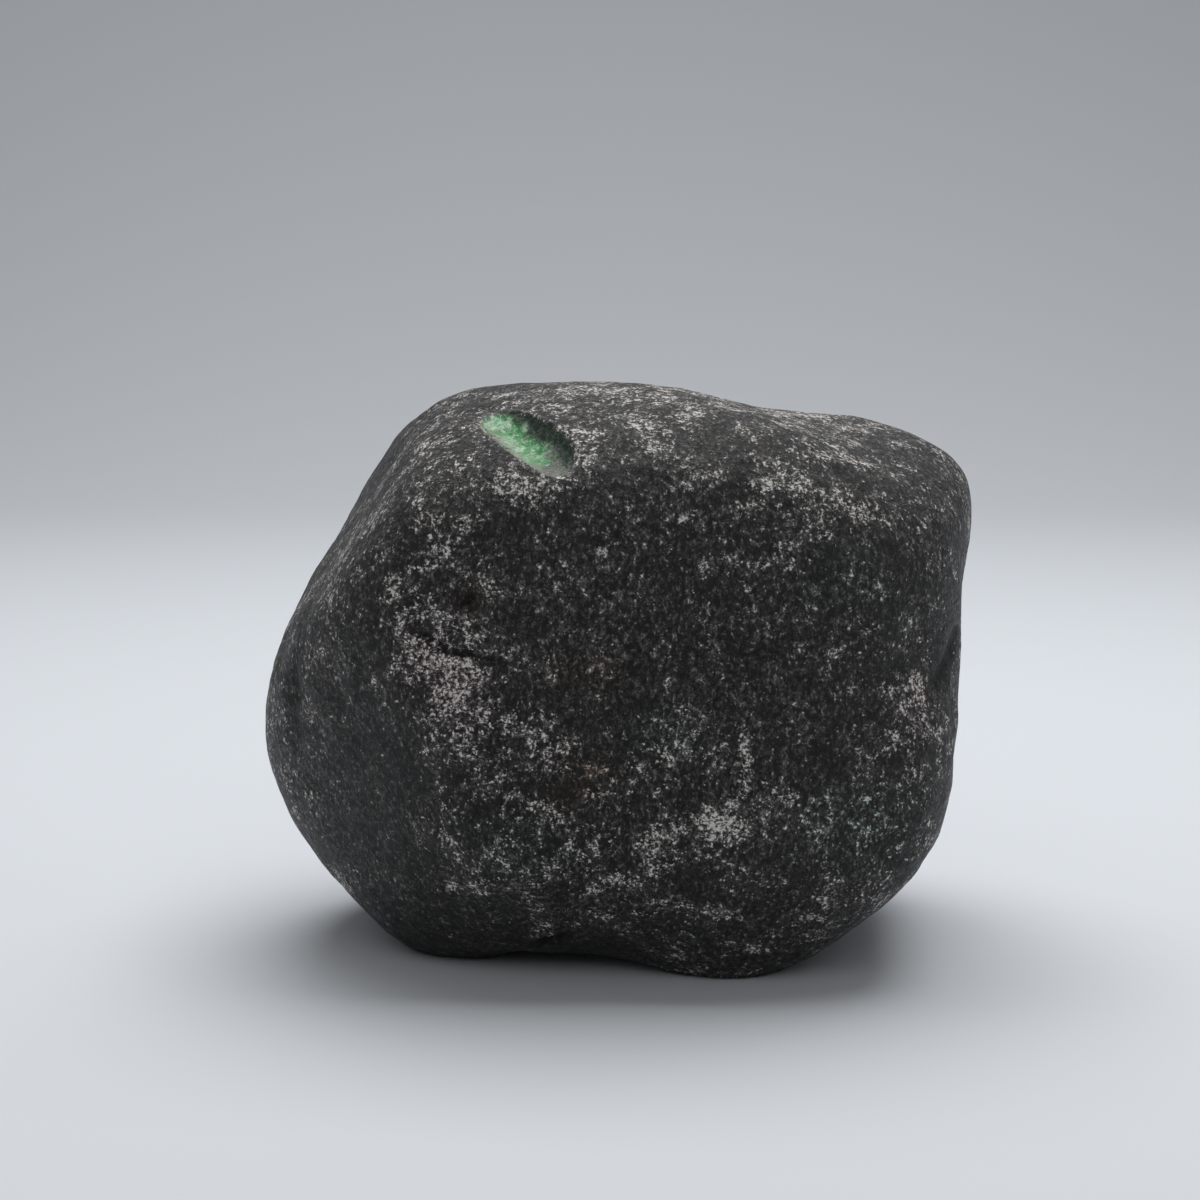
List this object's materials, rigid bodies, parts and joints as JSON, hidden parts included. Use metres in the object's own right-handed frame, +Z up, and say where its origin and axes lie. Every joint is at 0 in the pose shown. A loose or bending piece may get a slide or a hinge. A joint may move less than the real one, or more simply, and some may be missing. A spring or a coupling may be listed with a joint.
{
  "type": "raw jade boulder",
  "caption": "Raw jade boulder: a stream-worn, squarish block in its dark natural skin, with a small ground window near the top that shows the green jade inside.",
  "frame": {"origin": "middle of the stone's box, at the height of the surface it stands on", "axes": "+X along the stone's longest side, to the right seen from the front; -Y towards the front; +Z up"},
  "size_m": [0.1194, 0.0922, 0.0943],
  "materials": {
    "skin": "dark, speckled, water-worn skin with a slightly waxy sheen"
  },
  "bodies": {
    "root": {"boulder": "skin"}
  },
  "joints": []
}
